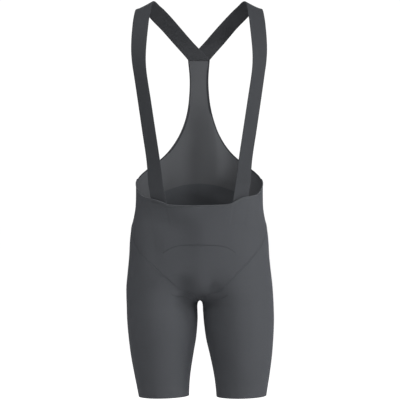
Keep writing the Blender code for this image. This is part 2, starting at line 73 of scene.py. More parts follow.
BACK_LIFT_FROM_Z = -0.160
BACK_LIFT_EASE = 0.05
RIM_LIFT = 0.0041
RIM_LIFT_X = 0.101
RIM_LIFT_WIDTH = 0.028
RIM_RISE = 0.0015
RIM_RISE_EASE = 0.04
RIM_LIFT_FROM_Z = -0.500
RIM_LIFT_EASE = 0.035
RIM_LIFT_DEPTH = 0.03
CROTCH_LIFT = 0.0012
CROTCH_LIFT_Z = -0.7055
CROTCH_LIFT_HALF = 0.006
CROTCH_LIFT_CENTRE = 0.4  # the share of it on the centre plane
CROTCH_LIFT_EASE = 0.005
CROTCH_BETWEEN = (-0.72, -0.68)
INNER_REACH = 0.030
INNER_FADE = 0.015
INNER_CHANGE = 0.006
INNER_DROP = 0.003
HALVINGS = 34
FURTHEST = 0.4
NORMAL_STEP = 0.0005
BLEND_CHANGE = 0.08
GUSSET_CHANGE = 0.02
GUSSET_WIDTH = 0.030
SETTLING = 8
TINY = 1e-9

Fields = namedtuple("Fields", "half_width lobe_x mid_y front back square front_blend back_blend gusset")

# z, half_width, lobe_x, mid_y, front, back, square, front_blend, back_blend, gusset
BODY = (
    (-0.110, 0.1500, 0.0400, 0.000, 0.110, 0.1215, 2.2, 0.016, 0.009, 0.0),
    (-0.200, 0.1520, 0.0470, 0.000, 0.110, 0.1215, 2.2, 0.016, 0.009, 0.0),
    (-0.300, 0.1500, 0.0500, 0.000, 0.110, 0.110, 2.2, 0.016, 0.008, 0.0),
    (-0.380, 0.1490, 0.0500, 0.000, 0.110, 0.099, 2.2, 0.016, 0.007, 0.0),
    (-0.430, 0.1489, 0.0515, 0.000, 0.1115, 0.096, 2.3, 0.016, 0.007, 0.0),
    (-0.480, 0.1498, 0.0515, 0.000, 0.1130, 0.102, 2.3, 0.016, 0.008, 0.0008),
    (-0.505, 0.1535, 0.0530, 0.001, 0.1120, 0.109, 2.3, 0.017, 0.009, 0.0015),
    (-0.530, 0.1592, 0.0561, 0.002, 0.1100, 0.114, 2.3, 0.018, 0.010, 0.0026),
    (-0.560, 0.1631, 0.0595, 0.004, 0.1100, 0.120, 2.2, 0.018, 0.011, 0.0042),
    (-0.600, 0.1653, 0.0645, 0.006, 0.1085, 0.121, 2.2, 0.018, 0.012, 0.0046),
    (-0.640, 0.1692, 0.0720, 0.008, 0.106, 0.114, 2.2, 0.015, 0.012, 0.0095),
    (-0.670, 0.1720, 0.0795, 0.010, 0.103, 0.104, 2.2, 0.010, 0.009, 0.0150),
    (-0.690, 0.1726, 0.0840, 0.010, 0.100, 0.096, 2.2, 0.006, 0.006, 0.0133),
    (-0.7045, 0.1728, 0.08745, 0.010, 0.098, 0.091, 2.2, 0.003, 0.003, 0.0),
    (-0.713, 0.1728, 0.0896, 0.010, 0.097, 0.088, 2.2, 0.0025, 0.0025, 0.0),
    (-0.750, 0.1724, 0.09005, 0.008, 0.094, 0.080, 2.2, 0.002, 0.002, 0.0),
    (-0.790, 0.1695, 0.09075, 0.004, 0.087, 0.076, 2.2, 0.002, 0.002, 0.0),
    (-0.830, 0.1651, 0.0927, 0.000, 0.079, 0.073, 2.1, 0.002, 0.002, 0.0),
    (-0.870, 0.1589, 0.09325, -0.003, 0.071, 0.070, 2.1, 0.002, 0.002, 0.0),
    (-0.900, 0.1537, 0.09245, -0.004, 0.067, 0.067, 2.1, 0.002, 0.002, 0.0),
    (-0.930, 0.1488, 0.0909, -0.005, 0.0640, 0.0645, 2.1, 0.002, 0.002, 0.0),
)
# share, z
FRONT_RIM = (
    (0.000, -0.4795), (0.100, -0.4785), (0.150, -0.4765), (0.180, -0.4710), (0.210, -0.4668),
    (0.260, -0.4622), (0.320, -0.4554), (0.385, -0.4424), (0.455, -0.4290), (0.550, -0.4170),
)
WAIST_SEAM = ((0.55, -0.4920), (0.65, -0.4720), (0.78, -0.4480), (0.90, -0.4320), (1.00, -0.4275))
# angle round a leg in degrees, z
LEG_SEAM = (
    (0, -0.7095), (15, -0.7074), (36, -0.7010), (54, -0.6888), (67, -0.6793), (79, -0.6641),
    (90, -0.6490), (102, -0.6318), (112, -0.6181), (122, -0.6047), (132, -0.5898), (145, -0.5685),
    (157, -0.5515), (176, -0.5290), (192, -0.5190), (213, -0.5328), (232, -0.5718), (254, -0.6240),
    (284, -0.6672), (308, -0.6881), (332, -0.6999), (360, -0.7095),
)
# z, half_width
BIB_RIM = (
    (-0.1140, 0.0258), (-0.1285, 0.0265), (-0.1443, 0.0250), (-0.1636, 0.0233), (-0.1830, 0.0227),
    (-0.2023, 0.0233), (-0.2216, 0.0246), (-0.2410, 0.0269), (-0.2604, 0.0306), (-0.2797, 0.0360),
    (-0.2990, 0.0431), (-0.3184, 0.0526), (-0.3380, 0.0651), (-0.3576, 0.0814), (-0.3770, 0.1030),
    (-0.3968, 0.1288), (-0.4085, 0.1405), (-0.4170, 0.1458),
)
# step, neck_x, neck_y, neck_z, arm_x, arm_y, arm_z
BRACE = (
    (0, 0.0803, -0.1012, -0.4540, 0.1165, -0.0850, -0.4540),
    (1, 0.0896, -0.1050, -0.3810, 0.1212, -0.0860, -0.3810),
    (2, 0.1005, -0.1090, -0.3078, 0.1317, -0.0880, -0.3078),
    (3, 0.1115, -0.1110, -0.2344, 0.1423, -0.0900, -0.2344),
    (4, 0.1197, -0.1110, -0.1800, 0.1502, -0.0895, -0.1800),
    (4.5, 0.1220, -0.1070, -0.1523, 0.1543, -0.0880, -0.1523),
    (5, 0.1217, -0.0990, -0.1246, 0.1564, -0.0840, -0.1246),
    (5.5, 0.1196, -0.0860, -0.0952, 0.1561, -0.0760, -0.0952),
    (6, 0.1171, -0.0670, -0.0657, 0.1544, -0.0600, -0.0657),
    (6.5, 0.1153, -0.0500, -0.0454, 0.1527, -0.0430, -0.0454),
    (7, 0.1125, -0.0280, -0.0240, 0.1491, -0.0220, -0.0243),
    (7.5, 0.1096, -0.0100, -0.0040, 0.1440, -0.0030, -0.0195),
    (8, 0.1031, 0.0080, 0.0000, 0.1350, 0.0170, -0.0190),
    (8.5, 0.0921, 0.0300, -0.0089, 0.1220, 0.0360, -0.0290),
    (9, 0.0823, 0.0480, -0.0163, 0.1093, 0.0500, -0.0420),
    (9.5, 0.0646, 0.0740, -0.0326, 0.0907, 0.0750, -0.0591),
    (10, 0.0478, 0.0945, -0.0499, 0.0758, 0.0945, -0.0745),
    (10.5, 0.0313, 0.1070, -0.0680, 0.0592, 0.1070, -0.0926),
    (11, 0.0142, 0.1145, -0.0866, 0.0427, 0.1145, -0.1106),
    (11.5, 0.0000, 0.1178, -0.1013, 0.0295, 0.1178, -0.1253),
)
BRACE_LOW_Z = -0.533
BRACE_CUT_Z = -0.1286
BRACE_CUT_HALF = 0.0268
BRACE_OVERLAP = 0.00112  # between the middles of the two thinned ends
BRACE_PRESS = 0.0015
BRACE_THINNING = 0.42
# By side, two turns of a brace behind the shoulder: step, half length, how far back its arm edge is turned
BRACE_TWIST = {1: ((9.0, 0.8, -0.028), (10.45, 0.5, 0.014)), -1: ((9.1, 0.9, 0.019), (10.45, 0.5, 0.006))}
BRACE_TUCK = 0.0036
BRACE_TUCK_FROM = 0.012
BRACE_SLANT = 0.14
BRACE_THIN_FROM = 1.6  # steps before the cut end
BRACE_THIN_EASE = 1.2
BRACE_ROWS = 180
BRACE_TUCKED_ROWS = 12
BRACE_JOIN_ROWS = 5
BRACE_JOIN_EASE = 1.2
BIB_EASE = 0.19
BIB_ROWS = 91
BIB_COLUMNS = 58
BIB_SIDE_ROWS = 10
BIB_UNDER_BINDING = 0.0030
RIM_CROWDING = 1.35
RIM_TURN_ROWS = 4

# The cloth that shows
KNIT = 0.0010
BIB_KNIT = 0.0009
ELASTIC = 0.0019
BINDING_WIDTH = 0.0055


def mix(start, end, share):
    return start + (end - start) * share


def smooth_step(share):
    share = np.clip(share, 0.0, 1.0)
    return share * share * (3 - 2 * share)


def bump(distance, width):
    return np.exp(-((distance / width) ** 2))


def read(table, places):
    """The other columns of a table at places in its first one, on a smooth curve through its rows."""
    rows = np.array(table, float)
    rows = rows[np.argsort(rows[:, 0])]
    starts = rows[:, 0]
    places = np.clip(np.asarray(places, float), starts[0], starts[-1])
    low = np.clip(np.searchsorted(starts, places, side="right") - 1, 0, len(rows) - 2)
    before, first = rows[np.maximum(low - 1, 0)], rows[low]
    second, after = rows[low + 1], rows[np.minimum(low + 2, len(rows) - 1)]
    step = (second - first)[..., :1]
    share = (places[..., None] - first[..., :1]) / step
    slope_first = (second - before) / (second - before)[..., :1] * step
    slope_second = (after - first) / (after - first)[..., :1] * step
    bend = 2 * first - 2 * second + slope_first + slope_second
    turn = 3 * second - 3 * first - 2 * slope_first - slope_second
    return ((((bend * share + turn) * share + slope_first) * share) + first)[..., 1:]


def unit(vectors):
    return vectors / np.linalg.norm(vectors, axis=-1, keepdims=True)


def halve(low, high, is_low):
    """The places between low and high up to which is_low holds, found by halving."""
    low, high = np.array(low, float), np.array(high, float)
    for _ in range(HALVINGS):
        middle = (low + high) / 2
        up = is_low(middle)
        low, high = np.where(up, middle, low), np.where(up, high, middle)
    return high


def body_fields(z):
    return Fields(*np.moveaxis(read(BODY, z), -1, 0))


def lobe_distance(x, y, fields):
    width = fields.half_width - fields.lobe_x
    depth = np.where(y > fields.mid_y, fields.back, fields.front)
    across = (np.abs(x - fields.lobe_x) / width) ** fields.square
    along = (np.abs(y - fields.mid_y) / depth) ** fields.square
    return ((across + along) ** (1 / fields.square) - 1) * width


def body_distance(x, y, z, fields=None):
    """Below 0 inside the body, which is two rounded lobes, blended where they meet."""
    fields = body_fields(z) if fields is None else fields
    left, right = lobe_distance(x, y, fields), lobe_distance(-x, y, fields)
    rear = y - fields.mid_y
    blend = mix(fields.front_blend, fields.back_blend, smooth_step(rear / BLEND_CHANGE + 0.5))
    filled = fields.gusset * bump(x, GUSSET_WIDTH) * smooth_step(-rear / GUSSET_CHANGE)
    return np.minimum(right, left) - blend * np.log1p(np.exp(-np.abs(right - left) / blend)) - filled


def centre_reach(fields, depth, blend, gusset=0.0):
    """How far from mid_y the surface meets the centre plane, or 0 where the legs are parted."""
    width = fields.half_width - fields.lobe_x
    spread = blend * math.log(2) + gusset
    rest = (1 + spread / width) ** fields.square - (fields.lobe_x / width) ** fields.square
    return depth * np.maximum(rest, 0.0) ** (1 / fields.square)


def front_reach(fields):
    return centre_reach(fields, fields.front, fields.front_blend, fields.gusset)


def angle_range(z):
    """The angles about the lobe's centre from the front centre line to the back one."""
    fields = body_fields(z)
    start = np.arctan2(front_reach(fields), fields.lobe_x)
    end = np.arctan2(centre_reach(fields, fields.back, fields.back_blend), fields.lobe_x)
    return start, FULL_TURN - end


def point_at_angle(angle, z):
    """The points of the surface at angles about the lobe's centre."""
    angle, z = np.broadcast_arrays(np.asarray(angle, float), np.asarray(z, float))
    fields = body_fields(z)
    side, rear = -np.cos(angle), -np.sin(angle)
    furthest = np.full(z.shape, FURTHEST)
    inward = side * FURTHEST < -fields.lobe_x
    furthest[inward] = (-fields.lobe_x / np.where(side == 0, 1, side))[inward]

    def spot(reach):
        return fields.lobe_x + side * reach, fields.mid_y + rear * reach

    far = halve(np.zeros(z.shape), furthest, lambda reach: body_distance(*spot(reach), z, fields) < 0)
    return np.stack([*spot(far), z], -1)


def body_point(share, z):
    start, end = angle_range(z)
    return point_at_angle(mix(start, end, share), z)


def normals_at(points):
    """The directions straight out of the surface at points on it."""
    x, y, z = np.moveaxis(points, -1, 0)
    fields, step = body_fields(z), NORMAL_STEP
    return unit(np.stack([
        body_distance(x + step, y, z, fields) - body_distance(x - step, y, z, fields),
        body_distance(x, y + step, z, fields) - body_distance(x, y - step, z, fields),
        body_distance(x, y, z + step) - body_distance(x, y, z - step),
    ], -1))


def share_of(points):
    fields = body_fields(points[..., 2])
    start, end = angle_range(points[..., 2])
    angle = np.arctan2(fields.mid_y - points[..., 1], fields.lobe_x - points[..., 0]) % FULL_TURN
    return (angle - start) / (end - start)


def round_share(step):
    turn = step / ROUND_STEPS
    return turn - CROWDING * np.sin(FULL_TURN * turn) / FULL_TURN


SIDE_SEAM = round_share(SIDE_STEP)


def share_at_back(half_width, z):
    half_width, z = np.broadcast_arrays(half_width, z)
    middle, back = np.full(z.shape, 0.5), np.ones(z.shape)
    return halve(middle, back, lambda share: body_point(share, z)[..., 0] > half_width)


def share_at_front(x, z):
    x, z = np.broadcast_arrays(x, z)
    front, middle = np.zeros(z.shape), np.full(z.shape, 0.5)
    return halve(front, middle, lambda share: body_point(share, z)[..., 0] < x)


CROTCH_Z = float(halve(*CROTCH_BETWEEN, lambda z: front_reach(body_fields(z)) <= 0))


def leg_seam_z(angle):
    return read(LEG_SEAM, np.degrees(angle))[..., 0]


def side_turn():
    even = angle = FULL_TURN * SIDE_SEAM
    for _ in range(SETTLING):
        start, end = angle_range(leg_seam_z(angle))
        angle = mix(start, end, SIDE_SEAM)
    return (even - angle) / math.sin(math.pi * SIDE_SEAM) ** 2


SIDE_TURN = side_turn()


def leg_angle(share):
    return FULL_TURN * share - SIDE_TURN * np.sin(math.pi * share) ** 2


def column_angle(share, z, centre):
    """The angles of a panel's columns at heights. The columns run from the top edge to the leg seam."""
    start, end = angle_range(z)
    from_centre, to_side = np.full(z.shape, float(centre)), np.full(z.shape, SIDE_SEAM)
    seam_share = halve(from_centre, to_side, lambda share: leg_seam_z(leg_angle(share)) < z)
    above = z >= leg_seam_z(leg_angle(SIDE_SEAM))
    seam_angle = np.where(above, mix(start, end, SIDE_SEAM), leg_angle(seam_share))
    reach = np.where(above, SIDE_SEAM, seam_share) - centre
    wide = np.abs(reach) > TINY
    part = np.where(wide, (share - centre) / np.where(wide, reach, 1), 1.0)
    return mix(start if centre == 0 else end, seam_angle, part)


def rim_lift(x, y, z):
    """The front rim sits a little higher beside the left brace than beside the right one."""
    rise = RIM_LIFT * bump(x - RIM_LIFT_X, RIM_LIFT_WIDTH) + RIM_RISE * smooth_step(x / RIM_RISE_EASE + 0.5)
    return rise * smooth_step(-y / RIM_LIFT_DEPTH) * smooth_step((z - RIM_LIFT_FROM_Z) / RIM_LIFT_EASE)


def near_centre(x):
    """1 at the centre plane and 0 beyond the inner thighs."""
    return smooth_step((INNER_REACH - np.abs(x)) / INNER_FADE)


def crotch_lift(x, z):
    """The gap between the legs ends in a nearly level top."""
    level = mix(CROTCH_LIFT_CENTRE, 1.0, smooth_step(np.abs(x) / CROTCH_LIFT_EASE)) * near_centre(x)
    return CROTCH_LIFT * level * bump(z - CROTCH_LIFT_Z, CROTCH_LIFT_HALF)


def leaned(points):
    """The pose: below the hips both legs lean a little to one side, and the top a little to the other."""
    x, y, z = np.moveaxis(points, -1, 0)
    below = np.maximum(LEAN_FROM_Z - z, 0.0)
    lean = LEAN_SLOPE * smooth_step(below / LEAN_EASE)
    leg_middle = np.copysign(HEM_CENTRE_X, x)
    lifted = lean * (x - leg_middle) * smooth_step((TURN_FROM_Z - z) / TURN_EASE)
    shift = lean * below - TOP_SHIFT * smooth_step((z - TOP_SHIFT_FROM_Z) / TOP_SHIFT_EASE)
    behind = smooth_step(y / BACK_SHIFT_DEPTH)
    shift = shift - BACK_SHIFT * behind * smooth_step((z - BACK_SHIFT_FROM_Z) / BACK_SHIFT_EASE)
    inward = INWARD * (1 + x / OUTER_X) * smooth_step((INWARD_FROM_Z - z) / INWARD_EASE)
    lifted = lifted + rim_lift(x, y, z) + crotch_lift(x, z)
    lifted = lifted + BACK_LIFT * behind * smooth_step((z - BACK_LIFT_FROM_Z) / BACK_LIFT_EASE)
    return np.stack([x + shift + np.where(x < 0, inward, 0.0), y, z + lifted], -1)


def mirrored(vectors):
    return vectors * np.array([-1.0, 1.0, 1.0])


# Soft folds and the marks of what lies beneath, as distances out of the surface

# Each fold: its face, its height, its half widths to the right and left of its run as seen from the front,
# and its start, middle and end as (x, z)
FOLDS = (
    ("front", -0.0096, 0.031, 0.066, (-0.130, -0.440), (-0.107, -0.550), (-0.078, -0.685)),
    ("front", -0.0108, 0.055, 0.075, (0.116, -0.445), (0.104, -0.575), (0.080, -0.690)),
    ("front", -0.0066, 0.040, 0.035, (-0.125, -0.478), (-0.057, -0.528), (0.010, -0.575)),
    ("front", -0.0125, 0.066, 0.024, (-0.057, -0.628), (-0.0365, -0.682), (-0.016, -0.745)),
    ("front", -0.0080, 0.014, 0.024, (0.046, -0.652), (0.021, -0.690), (0.005, -0.724)),
    ("front", -0.0055, 0.018, 0.014, (-0.048, -0.655), (-0.028, -0.712), (-0.013, -0.775)),
    ("front", 0.0044, 0.025, 0.048, (-0.115, -0.640), (-0.109, -0.800), (-0.102, -0.980)),
    ("front", 0.0122, 0.034, 0.070, (0.091, -0.600), (0.088, -0.790), (0.088, -0.980)),
    ("back", 0.0075, 0.030, 0.026, (-0.013, -0.215), (-0.020, -0.335), (-0.030, -0.450)),
    ("back", -0.0040, 0.020, 0.015, (0.022, -0.684), (0.068, -0.715), (0.132, -0.700)),
    ("back", -0.0034, 0.018, 0.014, (-0.026, -0.680), (-0.078, -0.710), (-0.126, -0.688)),
    ("back", -0.0042, 0.026, 0.034, (0.050, -0.490), (0.085, -0.570), (0.104, -0.660)),
    ("back", -0.0034, 0.036, 0.024, (-0.058, -0.515), (-0.088, -0.590), (-0.112, -0.660)),
    ("back", -0.0022, 0.020, 0.026, (0.070, -0.735), (0.088, -0.800), (0.080, -0.890)),
)
FOLD_POINTS = 16
FOLD_FADE = 0.4  # the share of a fold's length over which each end fades
SIDE_CHANGE = 1.3  # how fast a point's side of a line turns from -1 to 1
# How far the inner thighs stand out below the crotch: side, height, z of the middle, half height
INNER_THIGHS = ((-1, 0.0010, -0.735, 0.035), (1, 0.0011, -0.716, 0.020))
# z, x of the crest, half widths towards -X and +X, how far it stands into the body
SPINE_FOLD = (
    (-0.130, 0.030, 0.020, 0.020, 0.0000),
    (-0.215, 0.027, 0.020, 0.018, 0.0030),
    (-0.280, 0.031, 0.026, 0.018, 0.0098),
    (-0.350, 0.038, 0.036, 0.024, 0.0148),
    (-0.410, 0.036, 0.044, 0.030, 0.0140),
    (-0.450, 0.023, 0.040, 0.034, 0.0095),
    (-0.480, 0.042, 0.042, 0.036, 0.0075),
    (-0.520, 0.005, 0.036, 0.036, 0.0000),
)
# The stitched outlines of the seat pad, which show as thin dark lines: share, z, and x, z for the low ones
PAD_TOP_FRONT = ((0.0, -0.5703), (0.055, -0.5712), (0.108, -0.5744), (0.144, -0.5813), (0.174, -0.5896))
PAD_LOW_FRONT = ((0.016, -0.7044), (0.038, -0.6990), (0.053, -0.6920), (0.066, -0.6842))
PAD_TOP_BACK = ((1.0, -0.556), (0.945, -0.558), (0.895, -0.564), (0.855, -0.574), (0.828, -0.588))


def fold_line(face, start, middle, end):
    """Points on the surface along a fold, on a curve through its three places."""
    part = np.linspace(0, 1, FOLD_POINTS)[:, None]
    places = np.array(start) * (1 - part) * (1 - 2 * part) + np.array(middle) * 4 * part * (1 - part)
    places = places + np.array(end) * part * (2 * part - 1)
    x, z = places[:, 0], places[:, 1]
    share = share_at_front(np.abs(x), z) if face == "front" else share_at_back(np.abs(x), z)
    points = body_point(share, z)
    points[:, 0] *= np.sign(x)
    return points


def line_distance(points, line):
    """How far each point is from a line of points, its side from -1 to 1, and the nearest place's share."""
    flat = points.reshape(-1, 3)
    best, where, side = np.full(len(flat), np.inf), np.zeros(len(flat)), np.zeros(len(flat))
    for index, (start, end) in enumerate(zip(line[:-1], line[1:])):
        along = end - start
        part = np.clip((flat - start) @ along / (along @ along), 0, 1)
        away = flat - start - part[:, None] * along
        gap = np.linalg.norm(away, axis=1)
        across = away[:, 2] * along[0] - away[:, 0] * along[2]
        turn = np.clip(SIDE_CHANGE * across / np.maximum(np.linalg.norm(along) * gap, TINY), -1, 1)
        closer = gap < best
        best, where = np.where(closer, gap, best), np.where(closer, (index + part) / (len(line) - 1), where)
        side = np.where(closer, turn, side)
    return tuple(values.reshape(points.shape[:-1]) for values in (best, side, where))


FOLD_LINES = [(fold_line(face, *places), height, low, high) for face, height, low, high, *places in FOLDS]


def relief(points):
    """How far the folds and the inner thighs move each point out of the surface."""
    x, z = points[..., 0], points[..., 2]
    total = np.zeros(x.shape)
    for side, height, middle, half in INNER_THIGHS:
        own = smooth_step(side * x / INNER_CHANGE + 0.5) * near_centre(x)
        below = smooth_step((CROTCH_Z - INNER_DROP - z) / INNER_CHANGE)
        total += height * own * bump(z - middle, half) * below
    for line, height, low_width, high_width in FOLD_LINES:
        gap, side, along = line_distance(points, line)
        shape = bump(gap, mix(low_width, high_width, smooth_step(side / 2 + 0.5)))
        total += height * shape * smooth_step(np.minimum(along, 1 - along) / FOLD_FADE)
    return total


def back_relief(points):
    """The relief, and the lengthwise fold in the back, which stands into the body and fades at both ends."""
    x, z = points[..., 0], points[..., 2]
    crest, right, left, height = np.moveaxis(read(SPINE_FOLD, z), -1, 0)
    gap = x - crest
    return relief(points) - height * np.where(gap < 0, bump(gap, right), bump(gap, left))


def brace_edges_at(z):
    """The distances from the centre plane of the two edges of a brace's tucked end."""
    slant = (z - BRACE[0][3]) * BRACE_SLANT
    return BRACE[0][1] + slant, BRACE[0][4] + slant / 2


BRACE_MARK = 0.0005
BRACE_MARK_NECK = 0.0022
BRACE_MARK_ARM = 0.010
BRACE_MARK_FADE = 0.012
RIM_DIP = 0.00045
RIM_DIP_AT = 0.0042
RIM_DIP_WIDTH = 0.0012
RIM_DIP_EASE = 0.008


def front_relief(points):
    """The relief, the low step where a brace ends under the front panel, and the dip below the binding."""
    x, z = np.abs(points[..., 0]), points[..., 2]
    neck, arm = brace_edges_at(z)
    past_neck = smooth_step((x - neck) / BRACE_MARK_NECK + 0.5)
    past_arm = smooth_step((x - arm) / BRACE_MARK_ARM + 0.5)
    fade = smooth_step((z - BRACE_LOW_Z) / BRACE_MARK_FADE)
    mark = np.where(points[..., 1] < 0, -BRACE_MARK * past_neck * (1 - past_arm) * fade, 0.0)
    below_rim = read(FRONT_RIM, np.minimum(share_of(points), FRONT_RIM[-1][0]))[..., 0] - z
    outside = smooth_step((x - BRACE[0][1]) / RIM_DIP_EASE)
    return relief(points) + mark - RIM_DIP * bump(below_rim - RIM_DIP_AT, RIM_DIP_WIDTH) * outside


def on_both_sides(points, extra, marks=relief):
    """Points and their mirror image, moved out by the marks and by extra, and leaned, with their normals."""
    out = normals_at(points)
    sides = []
    for base, away in ((points, out), (mirrored(points), mirrored(out))):
        moved = marks(base) + extra
        sides.append((leaned(base + away * moved[..., None]), away))
    return sides


# Finishes

CLOTH_SURFACE = {
    "Specular IOR Level": 0.15,
    "Sheen Weight": 0.08,
    "Sheen Roughness": 0.45,
    "Sheen Tint": (0.8, 0.85, 1.0, 1.0),
}
COURSE_WAVE = 0.9
FINE_SCALE = 420.0
BROAD_SCALE = 22.0
RELIEF_DEPTH = 0.0002
# How much each pattern counts in the relief, and then in the tone
WALES_HEIGHT = 0.6
COURSES_HEIGHT = 0.25
FINE_HEIGHT = 0.5
BASE_TONE = 0.86
KNIT_TONE = 0.12
FINE_TONE = 0.06
BROAD_TONE = 0.05


def material(name, colour, roughness, pattern, strength):
    """A knit or woven finish. pattern is (period across, period along) in metres, in the UV map's metres."""
    made = bpy.data.materials.new(name)
    made.use_nodes = True
    nodes, links = made.node_tree.nodes, made.node_tree.links
    shader = nodes["Principled BSDF"]
    for socket, value in {"Roughness": roughness, **CLOTH_SURFACE}.items():
        shader.inputs[socket].default_value = value

    def maths(operation, first, second=None):
        new = nodes.new("ShaderNodeMath")
        new.operation = operation
        for socket, value in zip(new.inputs, (first, second)):
            if isinstance(value, (int, float)):
                socket.default_value = value
            elif value is not None:
                links.new(value, socket)
        return new.outputs[0]

    def noise(scale, detail):
        new = nodes.new("ShaderNodeTexNoise")
        new.inputs["Scale"].default_value = scale
        new.inputs["Detail"].default_value = detail
        links.new(place.outputs["Object"], new.inputs["Vector"])
        return new.outputs["Fac"]

    uv = nodes.new("ShaderNodeUVMap")
    uv.uv_map = "UVMap"
    split = nodes.new("ShaderNodeSeparateXYZ")
    links.new(uv.outputs[0], split.inputs[0])
    across = maths("MULTIPLY", split.outputs[0], FULL_TURN / pattern[0])
    along = maths("MULTIPLY", split.outputs[1], FULL_TURN / pattern[1])
    wales = maths("ABSOLUTE", maths("SINE", maths("MULTIPLY", across, 0.5)))
    courses = maths("SINE", maths("ADD", along, maths("MULTIPLY", maths("SINE", across), COURSE_WAVE)))
    knit = maths("ADD", maths("MULTIPLY", wales, WALES_HEIGHT), maths("MULTIPLY", courses, COURSES_HEIGHT))
    place = nodes.new("ShaderNodeTexCoord")
    fine, broad = noise(FINE_SCALE, detail=3.0), noise(BROAD_SCALE, detail=2.0)
    raised = nodes.new("ShaderNodeBump")
    raised.inputs["Strength"].default_value = strength
    raised.inputs["Distance"].default_value = RELIEF_DEPTH
    links.new(maths("ADD", knit, maths("MULTIPLY", fine, FINE_HEIGHT)), raised.inputs["Height"])
    links.new(raised.outputs[0], shader.inputs["Normal"])
    tone = maths("ADD", maths("MULTIPLY", fine, FINE_TONE), maths("MULTIPLY", broad, BROAD_TONE))
    tone = maths("ADD", maths("ADD", tone, maths("MULTIPLY", knit, KNIT_TONE)), BASE_TONE)
    blend = nodes.new("ShaderNodeMix")
    blend.data_type, blend.blend_type = "RGBA", "MULTIPLY"
    blend.inputs["Factor"].default_value = 1.0
    blend.inputs["A"].default_value = (*colour, 1.0)
    links.new(tone, blend.inputs["B"])
    links.new(blend.outputs["Result"], shader.inputs["Base Color"])
    return made


SHORTS = material("shorts_knit", (0.086, 0.090, 0.099), 0.82, (0.0011, 0.0009), 0.35)
SHORTS_INSIDE = material("shorts_knit_inside", (0.089, 0.094, 0.103), 0.9, (0.0011, 0.0009), 0.3)
BIB = material("bib_knit", (0.112, 0.116, 0.124), 0.85, (0.0016, 0.0014), 0.3)
BRACES = material("brace_elastic", (0.058, 0.061, 0.067), 0.75, (0.0022, 0.0010), 0.4)
BRACES_INSIDE = material("brace_elastic_inside", (0.055, 0.057, 0.062), 0.9, (0.0022, 0.0010), 0.4)
BINDING = material("edge_binding", (0.089, 0.093, 0.101), 0.7, (0.0009, 0.0009), 0.3)
# A darker copy of the edge binding finish, for the back edges: its darkness is painted shade, standing in
# for the dark line seen along those edges.
SHADE_PAINTED_BINDING = material("edge_binding_painted_shade", (0.050, 0.052, 0.058), 0.8, (0.0009, 0.0009), 0.3)
THREAD = material("thread", (0.074, 0.078, 0.086), 0.7, (0.0006, 0.0006), 0.2)
DARK_THREAD = material("dark_thread", (0.041, 0.043, 0.048), 0.7, (0.0006, 0.0006), 0.2)
KNIT_FINISHES = [SHORTS, SHORTS_INSIDE]


# Meshes


def mesh_object(name, points, faces, finishes, finish_of, uvs, sharp=45):
    """One object from points and faces, smooth except at edges over an angle."""
    mesh = bpy.data.meshes.new(name)
    mesh.from_pydata(points.tolist(), [], [list(face) for face in faces])
    for finish in finishes:
        mesh.materials.append(finish)
    mesh.polygons.foreach_set("material_index", np.asarray(finish_of, np.int32))
    layer = mesh.uv_layers.new(name="UVMap")
    layer.data.foreach_set("uv", np.asarray(uvs, np.float32).ravel())
    mesh.shade_smooth()
    if sharp:
        mesh.set_sharp_from_angle(angle=math.radians(sharp))
    mesh.validate()
    piece = bpy.data.objects.new(name, mesh)
    bpy.context.scene.collection.objects.link(piece)
    return piece


WELD_PLACES = 6  # points that are the same to so many decimals are one


def shell(name, patches, thickness, finishes):
    """A thin closed shell from patches of (points, normals, uvs), each a grid, welded where they meet."""
    points, normals, corners = (
        np.concatenate([part.reshape(-1, part.shape[-1]) for part in parts]) for parts in zip(*patches)
    )
    quads, first = [], 0
    for grid, out, _ in patches:
        rows, columns = grid.shape[:2]
        index = first + np.arange(rows * columns).reshape(rows, columns)
        quad = np.stack([index[:-1, :-1], index[1:, :-1], index[1:, 1:], index[:-1, 1:]], -1).reshape(-1, 4)
        row, column = rows // 2, columns // 2
        down = grid[row + 1, column] - grid[row, column]
        across = grid[row, column + 1] - grid[row, column]
        quads.append(quad[:, ::-1] if np.cross(down, across) @ out[row, column] < 0 else quad)
        first += rows * columns
    quads = np.concatenate(quads)
    places = np.round(points, WELD_PLACES) + 0.0
    _, kept, same = np.unique(places, axis=0, return_index=True, return_inverse=True)
    same = same.reshape(-1)
    welded = same[quads]
    whole = np.array([len(set(quad)) == 4 for quad in welded.tolist()])
    quads, welded = quads[whole], welded[whole]
    outer = points[kept]
    inner = outer - normals[kept] * thickness
    count = len(outer)
    edges = np.stack([welded, np.roll(welded, -1, axis=1)], -1).reshape(-1, 2)
    edge_corners = np.stack([quads, np.roll(quads, -1, axis=1)], -1).reshape(-1, 2)
    _, where, uses = np.unique(np.sort(edges, axis=1), axis=0, return_inverse=True, return_counts=True)
    open_edges = uses[where.reshape(-1)] == 1
    rim = edges[open_edges]
    rim_corners = edge_corners[open_edges]
    rim_quads = np.stack([rim[:, 1], rim[:, 0], rim[:, 0] + count, rim[:, 1] + count], -1)
    faces = np.concatenate([welded, welded[:, ::-1] + count, rim_quads])
    used = (quads, quads[:, ::-1], rim_corners[:, [1, 0, 0, 1]])
    uvs = np.concatenate([corners[rows].reshape(-1, 2) for rows in used])
    finish_of = np.repeat([0, len(finishes) - 1, 0], [len(welded), len(welded), len(rim_quads)])
    return mesh_object(name, np.concatenate([outer, inner]), faces, finishes, finish_of, uvs)


def half_patches(points, shares, extra, marks):
    """The patches of one half and of its mirror image, as shell takes them."""
    uv = np.stack([shares * UV_GIRTH, points[..., 2]], -1)
    halves = zip((1, -1), on_both_sides(points, extra, marks))
    return [(moved, away, uv * np.array([side, 1])) for side, (moved, away) in halves]


def ring_quads(rings, around):
    """The numbers of the points of rings, and the faces between the rings."""
    index = np.arange(rings * around).reshape(rings, around)
    after = np.roll(index, -1, axis=1)
    return index, np.stack([index[:-1], after[:-1], after[1:], index[1:]], -1).reshape(-1, 4)


